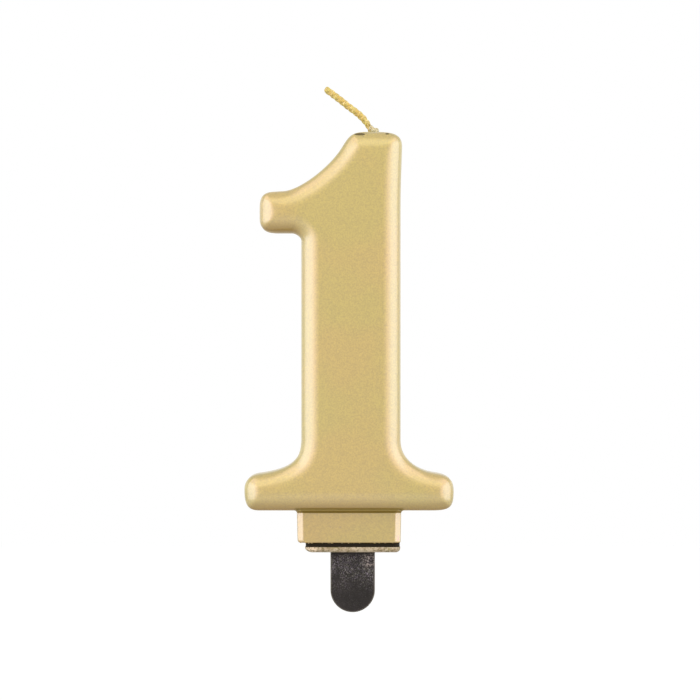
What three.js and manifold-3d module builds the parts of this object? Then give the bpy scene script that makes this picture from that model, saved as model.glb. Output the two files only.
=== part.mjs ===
// A number candle in the shape of the digit one, cast in wax, on the plastic pick that holds it
// in a cake. Millimetres. X runs to the right, Y to the back and Z up. The digit faces -Y.
// The origin is the centre of the flange's underside, on the pick's axis, at the cake's surface.
import * as THREE from 'three';
import { mergeVertices } from 'three/addons/utils/BufferGeometryUtils.js';
import Module from 'manifold-3d';

// The pick: a round-ended tongue below the flange and a tang above it
const tongueWidth = 8.5;
const tongueLength = 11.45;
const bladeThickness = 2;
const bladeEdge = 0.2;
const tangWidth = 7.6;
const tangLength = 9;
const tangChamfer = 1.2;
const flangeWidth = 18.2;
const flangeDepth = 7;
const flangeCorner = 1.3;
const rimHeight = 1;
const rimRound = 0.85;
const stepHeight = 0.7;
const stepInset = 0.12;

// The wax foot that stands on the flange, under the digit
const bodyShift = -0.7;
const footHeight = 6.2;
const footWidth = 19.9;
const footDepth = 8.6;
const footDraft = 0.13;
const footChamfer = 1.25;
const footToe = 0.25;
const footFillet = 0.8;
const footFilletFront = 0.5;

// The digit above the foot: a wide base, a stem and a flag to the left
const digitHeight = 72.15;
const digitDepth = 14;
const edgeRound = 2.7;
const baseWidth = 39.9;
const baseTipHeight = 6.55;
const baseSlope = 8.2;
const stemWidth = 18.9;
const stemShift = 0.36;
const stemFlare = 0.4;
const stemFlareHeight = 60.3;
const flagLength = 7.95;
const flagUnderside = 53.05;
const flagTipHeight = 7.55;
const flagSlope = 3.3;
const sweepAngle = 59;
const shoulderPlace = 0.05;

// The digit's roundings: where each starts before its corner, where it ends after it, and how
// full it is, with 0.55 close to a true arc
const rounding = {
  baseRightLow: { before: 4.3, after: 3.75, fullness: 0.85 },
  baseRightHigh: { before: 2.85, after: 3.45, fullness: 0.72 },
  stemRightLow: { before: 6.8, after: 5.5, fullness: 0.62 },
  stemRightFlare: { before: 3, after: 3, fullness: 0.55 },
  topRight: { before: 3.1, after: 4.8, fullness: 0.75 },
  shoulder: { before: 3.4, after: 3.3, fullness: 0.88 },
  sweep: { before: 9.4, after: 6.35, fullness: 0.48 },
  flagHigh: { before: 2.8, after: 3.1, fullness: 0.77 },
  flagLow: { before: 2.9, after: 3.6, fullness: 0.77 },
  flagFillet: { before: 1.95, after: 1.75, fullness: 0.5 },
  stemLeftLow: { before: 5.65, after: 8.1, fullness: 0.76 },
  baseLeftHigh: { before: 2.8, after: 2.5, fullness: 0.63 },
  baseLeftLow: { before: 4, after: 2.85, fullness: 0.75 },
};

// The wick: held straight in the wax, and bent over to the left where it stands out
const wickPlace = 4.05;
const wickDepth = 64;
const wickDiameter = 1.44;
const wickRootDiameter = 1;
const wickRise = 6.9;
const wickReach = 7.85;
const wickRootLean = 25;
const wickTipLean = 55;
const wickRootStretch = 2.1;
const wickTipStretch = 3.5;
const wickTaperShare = 0.5;
const sealRadius = 0.8;
const sealHeight = 1.1;
const sealAside = 1.25;
const sealForward = 1.5;

// Clearances between the pieces
const slotClearance = 0.3;
const wickClearance = 0.3;

// How finely the faceted surfaces are cut: lengths, an angle in degrees, and counts
const sampleSpacing = 0.15;
const longestStep = 3.4;
const turnPerStep = 15;
const shortestLine = 0.01;
const meetingSlack = 0.002;
const mergeWithin = 0.0001;
const leastFlat = 0.3;
const cutBeyond = 1;
const edgeRings = 5;
const filletRings = 4;
const roundSides = 20;
const wickSides = 10;
const wickRings = 9;

const wasm = await Module();
wasm.setup();

const radians = THREE.MathUtils.degToRad;
const flangeTop = rimHeight + stepHeight;
const digitBottom = flangeTop + footHeight;
const digitTop = digitBottom + digitHeight;
const wickX = bodyShift + wickPlace;

// A closed solid from a geometry whose shared vertices are merged
function toSolid(geometry) {
  const bare = geometry.clone();
  bare.deleteAttribute('normal');
  bare.deleteAttribute('uv');
  const merged = mergeVertices(bare, mergeWithin);
  return new wasm.Manifold(new wasm.Mesh({
    numProp: 3,
    vertProperties: new Float32Array(merged.attributes.position.array),
    triVerts: new Uint32Array(merged.index.array),
  }));
}

function toGeometry(solid) {
  const mesh = solid.getMesh();
  const geometry = new THREE.BufferGeometry();
  geometry.setAttribute('position', new THREE.BufferAttribute(new Float32Array(mesh.vertProperties), 3));
  geometry.setIndex(new THREE.BufferAttribute(new Uint32Array(mesh.triVerts), 1));
  return geometry;
}

// A line through a point at an angle from +X, crossed with the upright line at x
function onSlope(point, angle, x) {
  return new THREE.Vector2(x, point.y + (x - point.x) * Math.tan(radians(angle)));
}

// The curves of a closed outline, from its corners and their roundings. Where two roundings
// would meet on a short side, both are cut back to share it.
function roundedOutline(corners) {
  const count = corners.length;
  const cuts = corners.map((corner) => ({ before: corner.before, after: corner.after }));
  corners.forEach((corner, i) => {
    const next = (i + 1) % count;
    const room = corner.at.distanceTo(corners[next].at);
    const share = Math.min(1, room / (cuts[i].after + cuts[next].before));
    cuts[i].after *= share;
    cuts[next].before *= share;
  });
  const curves = [];
  corners.forEach((corner, i) => {
    const { at, fullness } = corner;
    const next = (i + 1) % count;
    const back = corners[(i + count - 1) % count].at.clone().sub(at).normalize();
    const ahead = corners[next].at.clone().sub(at).normalize();
    const along = (direction, distance) => at.clone().addScaledVector(direction, distance);
    const start = along(back, cuts[i].before);
    const end = along(ahead, cuts[i].after);
    const startHandle = along(back, cuts[i].before * (1 - fullness));
    const endHandle = along(ahead, cuts[i].after * (1 - fullness));
    curves.push(new THREE.CubicBezierCurve(start, startHandle, endHandle, end));
    const nextBack = at.clone().sub(corners[next].at).normalize();
    const nextStart = corners[next].at.clone().addScaledVector(nextBack, cuts[next].before);
    if (end.distanceTo(nextStart) > shortestLine) curves.push(new THREE.LineCurve(end, nextStart));
  });
  return curves;
}

// Close points along the outline, each with its way in, for an outline walked anticlockwise
function walk(curves) {
  const points = [];
  for (const curve of curves) {
    const steps = Math.max(4, Math.ceil(curve.getLength() / sampleSpacing));
    for (let k = 0; k < steps; k += 1) points.push(curve.getPoint(k / steps));
  }
  return points.map((point, i) => {
    const last = points[(i + points.length - 1) % points.length];
    const next = points[(i + 1) % points.length];
    const ahead = next.clone().sub(last).normalize();
    return { point, inward: new THREE.Vector2(-ahead.y, ahead.x) };
  });
}

// Which of the close points become vertices: even steps of length and of turn together
function chosen(samples) {
  const reached = [0];
  samples.forEach((sample, i) => {
    const next = samples[(i + 1) % samples.length];
    const length = sample.point.distanceTo(next.point);
    const turn = Math.acos(THREE.MathUtils.clamp(sample.inward.dot(next.inward), -1, 1));
    reached.push(reached[i] + length / longestStep + turn / radians(turnPerStep));
  });
  const total = reached[samples.length];
  const count = Math.ceil(total);
  const picks = [];
  for (let i = 0; i < samples.length; i += 1) {
    if (Math.floor(reached[i + 1] / total * count) > Math.floor(reached[i] / total * count)) picks.push(i);
  }
  return picks;
}

// The outline moved in by a distance. Where the moved line would cross itself at a tight
// corner, the crossed stretch is gathered into the one point where its two sides meet.
function movedIn(samples, distance) {
  const moved = samples.map(({ point, inward }) => point.clone().addScaledVector(inward, distance));
  if (distance === 0) return moved;
  const least = (distance - meetingSlack) ** 2;
  const clear = moved.map((place) => samples.every(({ point }) => place.distanceToSquared(point) >= least));
  const count = samples.length;
  const first = clear.findIndex((ok, i) => ok && !clear[(i + 1) % count]);
  if (first < 0) return moved;
  for (let step = 1; step < count; step += 1) {
    const start = (first + step) % count;
    if (clear[start]) continue;
    let run = 0;
    while (!clear[(start + run) % count]) run += 1;
    const before = moved[(start + count - 1) % count];
    const after = moved[(start + run) % count];
    const meeting = before.clone().lerp(after, 0.5);
    for (let k = 0; k < run; k += 1) moved[(start + k) % count].copy(meeting);
    step += run;
  }
  return moved;
}

// A closed skin over rings of as many points each, with flat ends. Points that fall together
// become one, and what is left of a face there is dropped.
function loft(rings, flatten) {
  const places = [];
  const known = new Map();
  const indexOf = (place) => {
    const key = place.toArray().map((value) => Math.round(value / mergeWithin)).join(' ');
    if (!known.has(key)) {
      known.set(key, places.length);
      places.push(place);
    }
    return known.get(key);
  };
  const ids = rings.map((ring) => ring.map(indexOf));
  const faces = [];
  const addFace = (a, b, c) => {
    if (a !== b && b !== c && c !== a) faces.push([a, b, c]);
  };
  const count = rings[0].length;
  for (let r = 0; r + 1 < rings.length; r += 1) {
    for (let i = 0; i < count; i += 1) {
      const j = (i + 1) % count;
      addFace(ids[r][i], ids[r][j], ids[r + 1][j]);
      addFace(ids[r][i], ids[r + 1][j], ids[r + 1][i]);
    }
  }
  const addEnd = (ring, reverse) => {
    const rim = ring.filter((id, i) => id !== ring[(i + 1) % ring.length]);
    if (rim.length < 3) return;
    const flat = rim.map((id) => flatten(places[id]));
    const sameWay = THREE.ShapeUtils.isClockWise(flat) === reverse;
    for (const [a, b, c] of THREE.ShapeUtils.triangulateShape(flat, [])) {
      if (sameWay) addFace(rim[a], rim[b], rim[c]);
      else addFace(rim[a], rim[c], rim[b]);
    }
  };
  addEnd(ids[0], true);
  addEnd(ids[ids.length - 1], false);
  let volume = 0;
  for (const [a, b, c] of faces) {
    volume += places[a].dot(new THREE.Vector3().crossVectors(places[b], places[c]));
  }
  const facing = volume > 0 ? faces : faces.map(([a, b, c]) => [a, c, b]);
  const geometry = new THREE.BufferGeometry();
  geometry.setAttribute('position', new THREE.Float32BufferAttribute(places.flatMap((p) => p.toArray()), 3));
  geometry.setIndex(facing.flat());
  return geometry;
}

const seenFromAbove = (place) => new THREE.Vector2(place.x, place.y);
const seenFromFront = (place) => new THREE.Vector2(place.x, place.z);

// The digit's corners, anticlockwise in front view from the right end of the underside
function digitCorners() {
  const right = new THREE.Vector2(baseWidth / 2, 0);
  const rightTip = new THREE.Vector2(baseWidth / 2, baseTipHeight);
  const stemRight = stemShift + stemWidth / 2;
  const stemLeft = stemShift - stemWidth / 2;
  const leftTip = new THREE.Vector2(-baseWidth / 2, baseTipHeight);
  const left = new THREE.Vector2(-baseWidth / 2, 0);
  const flagTip = new THREE.Vector2(stemLeft - flagLength, flagUnderside + flagTipHeight);
  const shoulder = new THREE.Vector2(stemShift + shoulderPlace, digitHeight);
  const sweepTangent = Math.tan(radians(sweepAngle));
  const flagTangent = Math.tan(radians(flagSlope));
  const sweepX = (flagTip.y - shoulder.y - flagTip.x * flagTangent + shoulder.x * sweepTangent)
    / (sweepTangent - flagTangent);
  const places = [
    ['baseRightLow', right],
    ['baseRightHigh', rightTip],
    ['stemRightLow', onSlope(rightTip, -baseSlope, stemRight)],
    ['stemRightFlare', new THREE.Vector2(stemRight, stemFlareHeight)],
    ['topRight', new THREE.Vector2(stemRight + stemFlare, digitHeight)],
    ['shoulder', shoulder],
    ['sweep', onSlope(flagTip, flagSlope, sweepX)],
    ['flagHigh', flagTip],
    ['flagLow', new THREE.Vector2(flagTip.x, flagUnderside)],
    ['flagFillet', new THREE.Vector2(stemLeft, flagUnderside)],
    ['stemLeftLow', onSlope(leftTip, baseSlope, stemLeft)],
    ['baseLeftHigh', leftTip],
    ['baseLeftLow', left],
  ];
  return places.map(([name, at]) => ({ at, ...rounding[name] }));
}

// The digit: a slab with a straight middle and quarter-round edges to a flat front and back
function digitGeometry() {
  const samples = walk(roundedOutline(digitCorners()));
  const picks = chosen(samples);
  const thinnest = Math.min(digitDepth, baseTipHeight, flagTipHeight);
  const round = Math.min(edgeRound, thinnest / 2 - leastFlat);
  const straight = digitDepth / 2 - round;
  const ringAt = (inset, y) => {
    const moved = movedIn(samples, inset);
    return picks.map((i) => new THREE.Vector3(moved[i].x + bodyShift, y, moved[i].y + digitBottom));
  };
  const rings = [];
  for (let k = edgeRings; k >= 0; k -= 1) {
    const angle = k / edgeRings * Math.PI / 2;
    rings.push(ringAt(round * (1 - Math.cos(angle)), -straight - round * Math.sin(angle)));
  }
  const backRings = rings.map((ring) => ring.map((p) => new THREE.Vector3(p.x, -p.y, p.z))).reverse();
  return loft([...rings, ...backRings], seenFromFront);
}

// The foot: a drafted block with chamfered upright corners, a softened lower edge and a fillet
// that spreads under the digit. Its top is buried in the digit.
function footGeometry() {
  const fillet = Math.min(footFillet, footHeight / 2);
  const section = (z, spread) => {
    const drawnIn = footDraft * (digitBottom - z) / footHeight;
    const x = footWidth / 2 + spread - drawnIn;
    const y = footDepth / 2 + Math.min(spread, footFilletFront) - drawnIn;
    const chamfer = Math.min(footChamfer, footWidth / 4, footDepth / 4);
    const corners = [
      [x, chamfer - y], [x, y - chamfer], [x - chamfer, y], [chamfer - x, y],
      [-x, y - chamfer], [-x, chamfer - y], [chamfer - x, -y], [x - chamfer, -y],
    ];
    return corners.map(([cx, cy]) => new THREE.Vector3(cx + bodyShift, cy, z));
  };
  const rings = [section(flangeTop, -footToe), section(flangeTop + footToe, 0)];
  for (let k = 0; k <= filletRings; k += 1) {
    const angle = k / filletRings * Math.PI / 2;
    const z = digitBottom - fillet + fillet * Math.sin(angle);
    rings.push(section(z, fillet * (1 - Math.cos(angle))));
  }
  rings.push(section(digitBottom + edgeRound / 2, fillet));
  return loft(rings, seenFromAbove);
}

// The slot in the foot that slides over the tang, from below the foot's underside
function slotGeometry() {
  const height = tangLength + slotClearance;
  const slot = new THREE.BoxGeometry(
    tangWidth + 2 * slotClearance,
    bladeThickness + 2 * slotClearance,
    height + cutBeyond,
  );
  return slot.translate(0, 0, flangeTop + (height - cutBeyond) / 2);
}

// The bore that the wick is cast into, open at the digit's top
function boreGeometry() {
  const height = wickDepth + wickClearance + cutBeyond;
  const bore = new THREE.CylinderGeometry(
    wickDiameter / 2 + wickClearance,
    wickDiameter / 2 + wickClearance,
    height,
    roundSides,
  );
  return bore.rotateX(Math.PI / 2).translate(wickX, 0, digitTop + cutBeyond - height / 2);
}

// The wax casting: digit and foot in one, with the slot and the bore cut out
function waxBodyGeometry() {
  const casting = toSolid(digitGeometry()).add(toSolid(footGeometry()));
  return toGeometry(casting.subtract(toSolid(slotGeometry())).subtract(toSolid(boreGeometry())));
}

// The wick inside the wax, straight down from the digit's top
function wickCoreGeometry() {
  const core = new THREE.CylinderGeometry(wickDiameter / 2, wickDiameter / 2, wickDepth, wickSides);
  return core.rotateX(Math.PI / 2).translate(wickX, 0, digitTop - wickDepth / 2);
}

// The wick that stands out: a tapered round cord that leans over, with a ball end at its root,
// where it bends, and a rounded tip
function wickTipGeometry() {
  const rootRadius = wickRootDiameter / 2;
  const tipRadius = wickDiameter / 2;
  const root = new THREE.Vector3(0, 0, digitTop + wickClearance + rootRadius);
  const tip = new THREE.Vector3(-wickReach, 0, root.z + wickRise);
  const lean = (angle) => new THREE.Vector3(-Math.sin(radians(angle)), 0, Math.cos(radians(angle)));
  const route = new THREE.CubicBezierCurve3(
    root,
    root.clone().addScaledVector(lean(wickRootLean), wickRootStretch),
    tip.clone().addScaledVector(lean(wickTipLean), -wickTipStretch),
    tip,
  );
  const ringAt = (centre, ahead, radius) => {
    const side = new THREE.Vector3(ahead.z, 0, -ahead.x);
    return Array.from({ length: wickSides }, (unused, i) => {
      const angle = i / wickSides * Math.PI * 2;
      return centre.clone()
        .addScaledVector(side, radius * Math.cos(angle))
        .add(new THREE.Vector3(wickX, radius * Math.sin(angle), 0));
    });
  };
  const ballRing = (centre, ahead, radius, angle) => ringAt(
    centre.clone().addScaledVector(ahead, radius * Math.sin(angle)),
    ahead,
    radius * Math.max(0, Math.cos(angle)),
  );
  const rings = [];
  for (const share of [1, 0.75, 0.5, 0.25]) {
    rings.push(ballRing(root, route.getTangent(0), rootRadius, -share * Math.PI / 2));
  }
  for (let k = 0; k <= wickRings; k += 1) {
    const share = k / wickRings;
    const widened = THREE.MathUtils.smoothstep(share, 0, wickTaperShare);
    const radius = THREE.MathUtils.lerp(rootRadius, tipRadius, widened);
    rings.push(ringAt(route.getPoint(share), route.getTangent(share), radius));
  }
  for (const share of [0.35, 0.7, 1]) {
    rings.push(ballRing(tip, route.getTangent(1), tipRadius, share * Math.PI / 2));
  }
  return loft(rings, seenFromAbove);
}

// The drop of clear wax that ran down the wick and set on the digit's top beside it
function sealGeometry() {
  const profile = [new THREE.Vector2(0, 0)];
  for (let k = 0; k <= 5; k += 1) {
    const angle = k / 5 * Math.PI / 2;
    profile.push(new THREE.Vector2(sealRadius * Math.cos(angle), sealHeight * Math.sin(angle)));
  }
  profile[profile.length - 1].x = 0;
  const drop = new THREE.LatheGeometry(profile, wickSides);
  return drop.rotateX(Math.PI / 2).translate(wickX + sealAside, -sealForward, digitTop);
}

// The pick's flange: a plate with a rounded lower edge and a narrow step on top
function flangeGeometry() {
  const across = flangeWidth / 2;
  const deep = flangeDepth / 2;
  const corner = Math.min(flangeCorner, across, deep);
  const places = [[across, -deep], [across, deep], [-across, deep], [-across, -deep]];
  const samples = walk(roundedOutline(places.map(([x, y]) => (
    { at: new THREE.Vector2(x, y), before: corner, after: corner, fullness: 0.55 }
  ))));
  const picks = chosen(samples);
  const ringAt = (inset, z) => {
    const moved = movedIn(samples, inset);
    return picks.map((i) => new THREE.Vector3(moved[i].x, moved[i].y, z));
  };
  const round = Math.min(rimRound, rimHeight, corner);
  const rings = [];
  for (let k = 0; k <= filletRings; k += 1) {
    const angle = k / filletRings * Math.PI / 2;
    rings.push(ringAt(round * (1 - Math.sin(angle)), round * (1 - Math.cos(angle))));
  }
  if (rimHeight > round) rings.push(ringAt(0, rimHeight));
  rings.push(ringAt(stepInset, rimHeight), ringAt(stepInset, flangeTop));
  return loft(rings, seenFromAbove);
}

// The pick's blade: the tongue that goes into the cake and the tang that goes into the foot
function bladeGeometry() {
  const tongue = tongueWidth / 2 - bladeEdge;
  const tang = tangWidth / 2 - bladeEdge;
  const tangTop = flangeTop + tangLength - bladeEdge;
  const chamfer = Math.min(tangChamfer, tang, tangLength);
  const shape = new THREE.Shape();
  shape.moveTo(tongue, rimHeight / 2);
  shape.lineTo(tang, rimHeight / 2);
  shape.lineTo(tang, tangTop - chamfer);
  shape.lineTo(tang - chamfer, tangTop);
  shape.lineTo(chamfer - tang, tangTop);
  shape.lineTo(-tang, tangTop - chamfer);
  shape.lineTo(-tang, rimHeight / 2);
  shape.lineTo(-tongue, rimHeight / 2);
  shape.lineTo(-tongue, tongueWidth / 2 - tongueLength);
  shape.absarc(0, tongueWidth / 2 - tongueLength, tongue, Math.PI, 2 * Math.PI, false);
  const blade = new THREE.ExtrudeGeometry(shape, {
    depth: bladeThickness - 2 * bladeEdge,
    bevelEnabled: true,
    bevelThickness: bladeEdge,
    bevelSize: bladeEdge,
    bevelSegments: 1,
    curveSegments: roundSides,
  });
  return blade.rotateX(Math.PI / 2).translate(0, bladeThickness / 2 - bladeEdge, 0);
}

function cakePickGeometry() {
  return toGeometry(toSolid(flangeGeometry()).add(toSolid(bladeGeometry())));
}

function piece(name, geometry, finish) {
  geometry.computeVertexNormals();
  const mesh = new THREE.Mesh(geometry, new THREE.MeshStandardMaterial(finish));
  mesh.name = name;
  return mesh;
}

const goldLacquer = { color: 0xcdb675, roughness: 0.35, metalness: 0.9 };
const goldenBraid = { color: 0xd6b766, roughness: 0.8, metalness: 0.3 };
const clearWax = { color: 0xe9dfc4, roughness: 0.3, metalness: 0 };
const blackPlastic = { color: 0x3a3837, roughness: 0.65, metalness: 0 };

const candle = new THREE.Group();
candle.add(
  piece('cake_pick', cakePickGeometry(), blackPlastic),
  piece('wax_body', waxBodyGeometry(), goldLacquer),
  piece('wick_core', wickCoreGeometry(), goldenBraid),
  piece('wick_tip', wickTipGeometry(), goldenBraid),
  piece('wick_seal', sealGeometry(), clearWax),
);

export default candle;
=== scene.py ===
# A gold number candle in the shape of the digit one, on the black pick that holds it in a cake.
# X runs to the right, Y to the back and Z up, from the middle of the flange's underside.
import math
import random

import bmesh
import bpy
from mathutils import Matrix, Vector
from mathutils.geometry import interpolate_bezier
from mathutils.kdtree import KDTree


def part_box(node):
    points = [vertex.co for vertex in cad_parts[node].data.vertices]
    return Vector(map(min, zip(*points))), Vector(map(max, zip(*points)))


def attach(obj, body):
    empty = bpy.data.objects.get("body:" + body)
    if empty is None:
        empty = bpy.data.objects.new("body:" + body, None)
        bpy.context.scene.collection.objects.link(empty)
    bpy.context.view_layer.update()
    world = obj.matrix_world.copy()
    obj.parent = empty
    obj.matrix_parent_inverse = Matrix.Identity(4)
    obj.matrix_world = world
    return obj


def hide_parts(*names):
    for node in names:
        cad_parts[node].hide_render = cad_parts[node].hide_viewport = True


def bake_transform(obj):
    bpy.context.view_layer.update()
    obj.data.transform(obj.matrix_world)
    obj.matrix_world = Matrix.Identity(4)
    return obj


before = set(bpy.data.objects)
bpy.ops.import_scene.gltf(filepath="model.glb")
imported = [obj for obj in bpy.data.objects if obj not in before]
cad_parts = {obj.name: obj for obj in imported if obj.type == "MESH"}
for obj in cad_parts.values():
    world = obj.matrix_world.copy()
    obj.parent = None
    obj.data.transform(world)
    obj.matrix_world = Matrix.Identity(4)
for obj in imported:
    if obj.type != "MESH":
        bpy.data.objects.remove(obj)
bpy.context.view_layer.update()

MM = 0.001


# The photographer's table: the candle floats well above a pale floor in a white tent. Two softboxes
# on each side, the inner one warmer, draw the creamy line along the edges. Three warm ones hang
# above, two weak ones light the back, and the tent is darkest around the camera.
lens = 200
sensor = 36
photo_pixels = 700
pixel_size = 0.1906 * MM
origin_pixel_x = 352.7
origin_pixel_y = 551.9
outline_y = -4.3 * MM
floor_z = -150 * MM
floor_half = 3
side_light = 2.45
warm_light = 2.05
back_light = 0.6
top_light = 1.35
high_light = 2.0
side_tint = (1.0, 0.95, 1.0)
high_tint = (1.0, 0.68, 0.62)
room_front = 0.10
room_back = 0.70
room_top = 1.0
floor_white = 0.43
floor_boost = 0.65

camera = bpy.data.objects.new("camera", bpy.data.cameras.new("camera"))
camera.data.lens = lens
camera.data.sensor_width = sensor
look_x = (photo_pixels / 2 - origin_pixel_x) * pixel_size
look_z = (origin_pixel_y - photo_pixels / 2) * pixel_size
camera_distance = photo_pixels * pixel_size * lens / sensor
camera.location = (look_x, outline_y - camera_distance, look_z)
camera.rotation_euler = (math.radians(90), 0, 0)
bpy.context.collection.objects.link(camera)
bpy.context.scene.camera = camera
bpy.context.scene.view_settings.view_transform = "Standard"


def add_node(tree, kind, sockets=(), **settings):
    """A shader node, with its settings, and a value or another node's output on its sockets."""
    made = tree.nodes.new("ShaderNode" + kind)
    for name, value in settings.items():
        setattr(made, name, value)
    for socket, value in dict(sockets).items():
        if isinstance(value, bpy.types.NodeSocket):
            tree.links.new(value, made.inputs[socket])
        else:
            made.inputs[socket].default_value = value
    return made


def worked_out(tree, operation, *values):
    """The result of a Math node on these values or outputs."""
    return add_node(tree, "Math", dict(enumerate(values)), operation=operation).outputs[0]


def seen(tree):
    """A mask of the rays that show a background: to the camera, or in a reflection or clear wax."""
    rays = add_node(tree, "LightPath").outputs
    mirrored = worked_out(tree, "MAXIMUM", rays["Is Camera Ray"], rays["Is Glossy Ray"])
    return worked_out(tree, "MAXIMUM", mirrored, rays["Is Transmission Ray"])


def softbox(name, azimuth, elevation, distance, width, height, radiance, tint=(1, 1, 1)):
    """A soft light aimed at the candle's middle. Azimuth 0 is the camera's side, 90 the right.
    Angles are in degrees, and the distance, width and height in metres."""
    lamp = bpy.data.lights.new(name, "AREA")
    lamp.shape = "RECTANGLE"
    lamp.size = width
    lamp.size_y = height
    lamp.color = tint
    lamp.energy = radiance * math.pi * width * height
    box = bpy.data.objects.new(name, lamp)
    turn = math.radians(azimuth)
    rise = math.radians(elevation)
    way = Vector((math.sin(turn) * math.cos(rise), -math.cos(turn) * math.cos(rise), math.sin(rise)))
    box.location = Vector((0, 0, look_z)) + way * distance
    box.rotation_euler = way.to_track_quat("Z", "Y").to_euler()
    bpy.context.collection.objects.link(box)


softbox("left_warm_light", -29, 5, 0.7, 0.22, 0.85, warm_light, (1.0, 0.68, 0.68))
softbox("left_light", -61, 5, 0.7, 0.66, 0.85, side_light, side_tint)
softbox("right_warm_light", 31, 5, 0.7, 0.20, 0.85, warm_light, (1.0, 0.65, 0.64))
softbox("right_light", 64, 5, 0.7, 0.62, 0.85, side_light, side_tint)
softbox("top_light", 0, 46, 0.8, 0.7, 0.5, top_light, (1.0, 0.87, 0.52))
softbox("top_left_light", -62, 52, 0.8, 0.55, 0.4, high_light, high_tint)
softbox("top_right_light", 62, 52, 0.8, 0.55, 0.4, high_light, high_tint)
softbox("back_left_light", -122, 10, 0.8, 0.8, 0.4, back_light)
softbox("back_right_light", 122, 10, 0.8, 0.8, 0.4, back_light)

world = bpy.data.worlds.new("white_tent")
bpy.context.scene.world = world
world.use_nodes = True
tent = world.node_tree
tent.nodes.clear()
way_out = add_node(tent, "TexCoord").outputs["Generated"]
ways_out = add_node(tent, "SeparateXYZ", {"Vector": way_out}).outputs
level = add_node(tent, "MapRange", {
    "Value": ways_out["Y"], "From Min": -0.5, "From Max": 0.5,
    "To Min": room_front, "To Max": room_back,
}, interpolation_type="SMOOTHSTEP").outputs["Result"]
upward = add_node(tent, "MapRange", {
    "Value": ways_out["Z"], "From Min": 0.2, "From Max": 0.85,
}, interpolation_type="SMOOTHSTEP").outputs["Result"]
room = add_node(tent, "Mix", {
    "Factor": upward, "A": level, "B": room_top,
}, data_type="FLOAT").outputs["Result"]
shown = add_node(tent, "Mix", {
    "Factor": seen(tent), "A": room, "B": 1.0,
}, data_type="FLOAT").outputs["Result"]
sky = add_node(tent, "Background", {"Color": shown})
tent.links.new(sky.outputs["Background"], add_node(tent, "OutputWorld").inputs["Surface"])

floor_mesh = bmesh.new()
bmesh.ops.create_grid(floor_mesh, x_segments=1, y_segments=1, size=floor_half)
bmesh.ops.translate(floor_mesh, vec=(0, 0, floor_z), verts=floor_mesh.verts)
floor_data = bpy.data.meshes.new("floor")
floor_mesh.to_mesh(floor_data)
floor = bpy.data.objects.new("floor", floor_data)
bpy.context.collection.objects.link(floor)

paper = bpy.data.materials.new("white_paper")
paper.use_nodes = True
tree = paper.node_tree
tree.nodes.clear()
matt = add_node(tree, "BsdfDiffuse", {"Color": (floor_white,) * 3 + (1,)})
boost = worked_out(tree, "MULTIPLY", seen(tree), floor_boost)
bright = add_node(tree, "Emission", {"Strength": boost})
both = add_node(tree, "AddShader", {0: matt.outputs[0], 1: bright.outputs[0]})
below = add_node(tree, "NewGeometry").outputs["Backfacing"]
sheer = add_node(tree, "BsdfTransparent")
sided = add_node(tree, "MixShader", {0: below, 1: both.outputs[0], 2: sheer.outputs[0]})
tree.links.new(sided.outputs[0], add_node(tree, "OutputMaterial").inputs["Surface"])
floor_data.materials.append(paper)


# The wax casting: the digit and the foot that stands on the pick's flange, poured as one. The
# digit is a thick slab with rounded edges; the foot is a block with chamfered upright corners. It
# is dipped in a satin gold lacquer, and its slot and bore are bare wax. Sizes in millimetres.
low, high = [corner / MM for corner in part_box("wax_body")]
body_x = (low.x + high.x) / 2
base_half = (high.x - low.x) / 2
half_depth = high.y
flange_top = low.z
foot_height = 6.2
foot_half_width = 9.95
foot_half_depth = 4.3
chamfer_across = 1.08
chamfer_deep = 0.70
foot_draft = 0.13
foot_toe = 0.25
foot_toe_left = 0.6
toe_steps = 9
foot_edge = 0.14
fillet_side = 0.55
neck_depth = 0.9
neck_height = 0.5
edge_round = 2.7
edge_width = 3.6
base_tip_height = 6.55
base_slope = math.tan(math.radians(8.2))
stem_left = -9.09
stem_right = 9.81
stem_flare = 0.4
stem_flare_height = 60.3
flag_left = -17.04
flag_low = 53.05
flag_high = 60.6
flag_slope = math.tan(math.radians(3.3))
shoulder_x = 0.41
sweep_slope = math.tan(math.radians(59))
edge_steps = 26
fillet_steps = 12
holding_inset = 0.2
crossing_gap = 12
crossing_slack = 0.002
soft_from = 5.8
soft_rounds = 30
slab_merge = 0.045
digit_bottom = flange_top + foot_height
digit_height = high.z - digit_bottom


def rounded_outline(corners, spacing):
    """Close points along a closed outline, anticlockwise. A corner has its place, how far before
    and after it its rounding starts and ends, and how full that is, with 0.55 close to an arc."""
    points = []
    for i, (place, before, after, fullness) in enumerate(corners):
        onward = corners[(i + 1) % len(corners)]
        back = (corners[i - 1][0] - place).normalized()
        ahead = (onward[0] - place).normalized()
        end = place + ahead * after
        steps = max(6, round((before + after) / spacing))
        points += interpolate_bezier(
            place + back * before,
            place + back * before * (1 - fullness),
            place + ahead * after * (1 - fullness),
            end,
            steps + 1,
        )[:-1]
        straight = (onward[0] - place).length - after - onward[1]
        steps = math.ceil(straight / spacing - 0.01)
        points += [end + ahead * straight * k / steps for k in range(steps)]
    return points


def inward_ways(points):
    """The way in from each point of an outline that runs anticlockwise in its X and Y."""
    ways = []
    for i in range(len(points)):
        along = points[(i + 1) % len(points)] - points[i - 1]
        ways.append(Vector((-along.y, along.x, 0)).normalized())
    return ways


def chosen(points, ways, longest, turn):
    """The numbers of the points that become vertices, in even steps of length and turn."""
    reached = [0]
    for i in range(len(points)):
        j = (i + 1) % len(points)
        step = (points[j] - points[i]).length / longest + ways[i].angle(ways[j]) / math.radians(turn)
        reached.append(reached[-1] + step)
    count = math.ceil(reached[-1])
    marks = [int(value / reached[-1] * count) for value in reached]
    return [i for i in range(len(points)) if marks[i + 1] > marks[i]]


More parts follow.
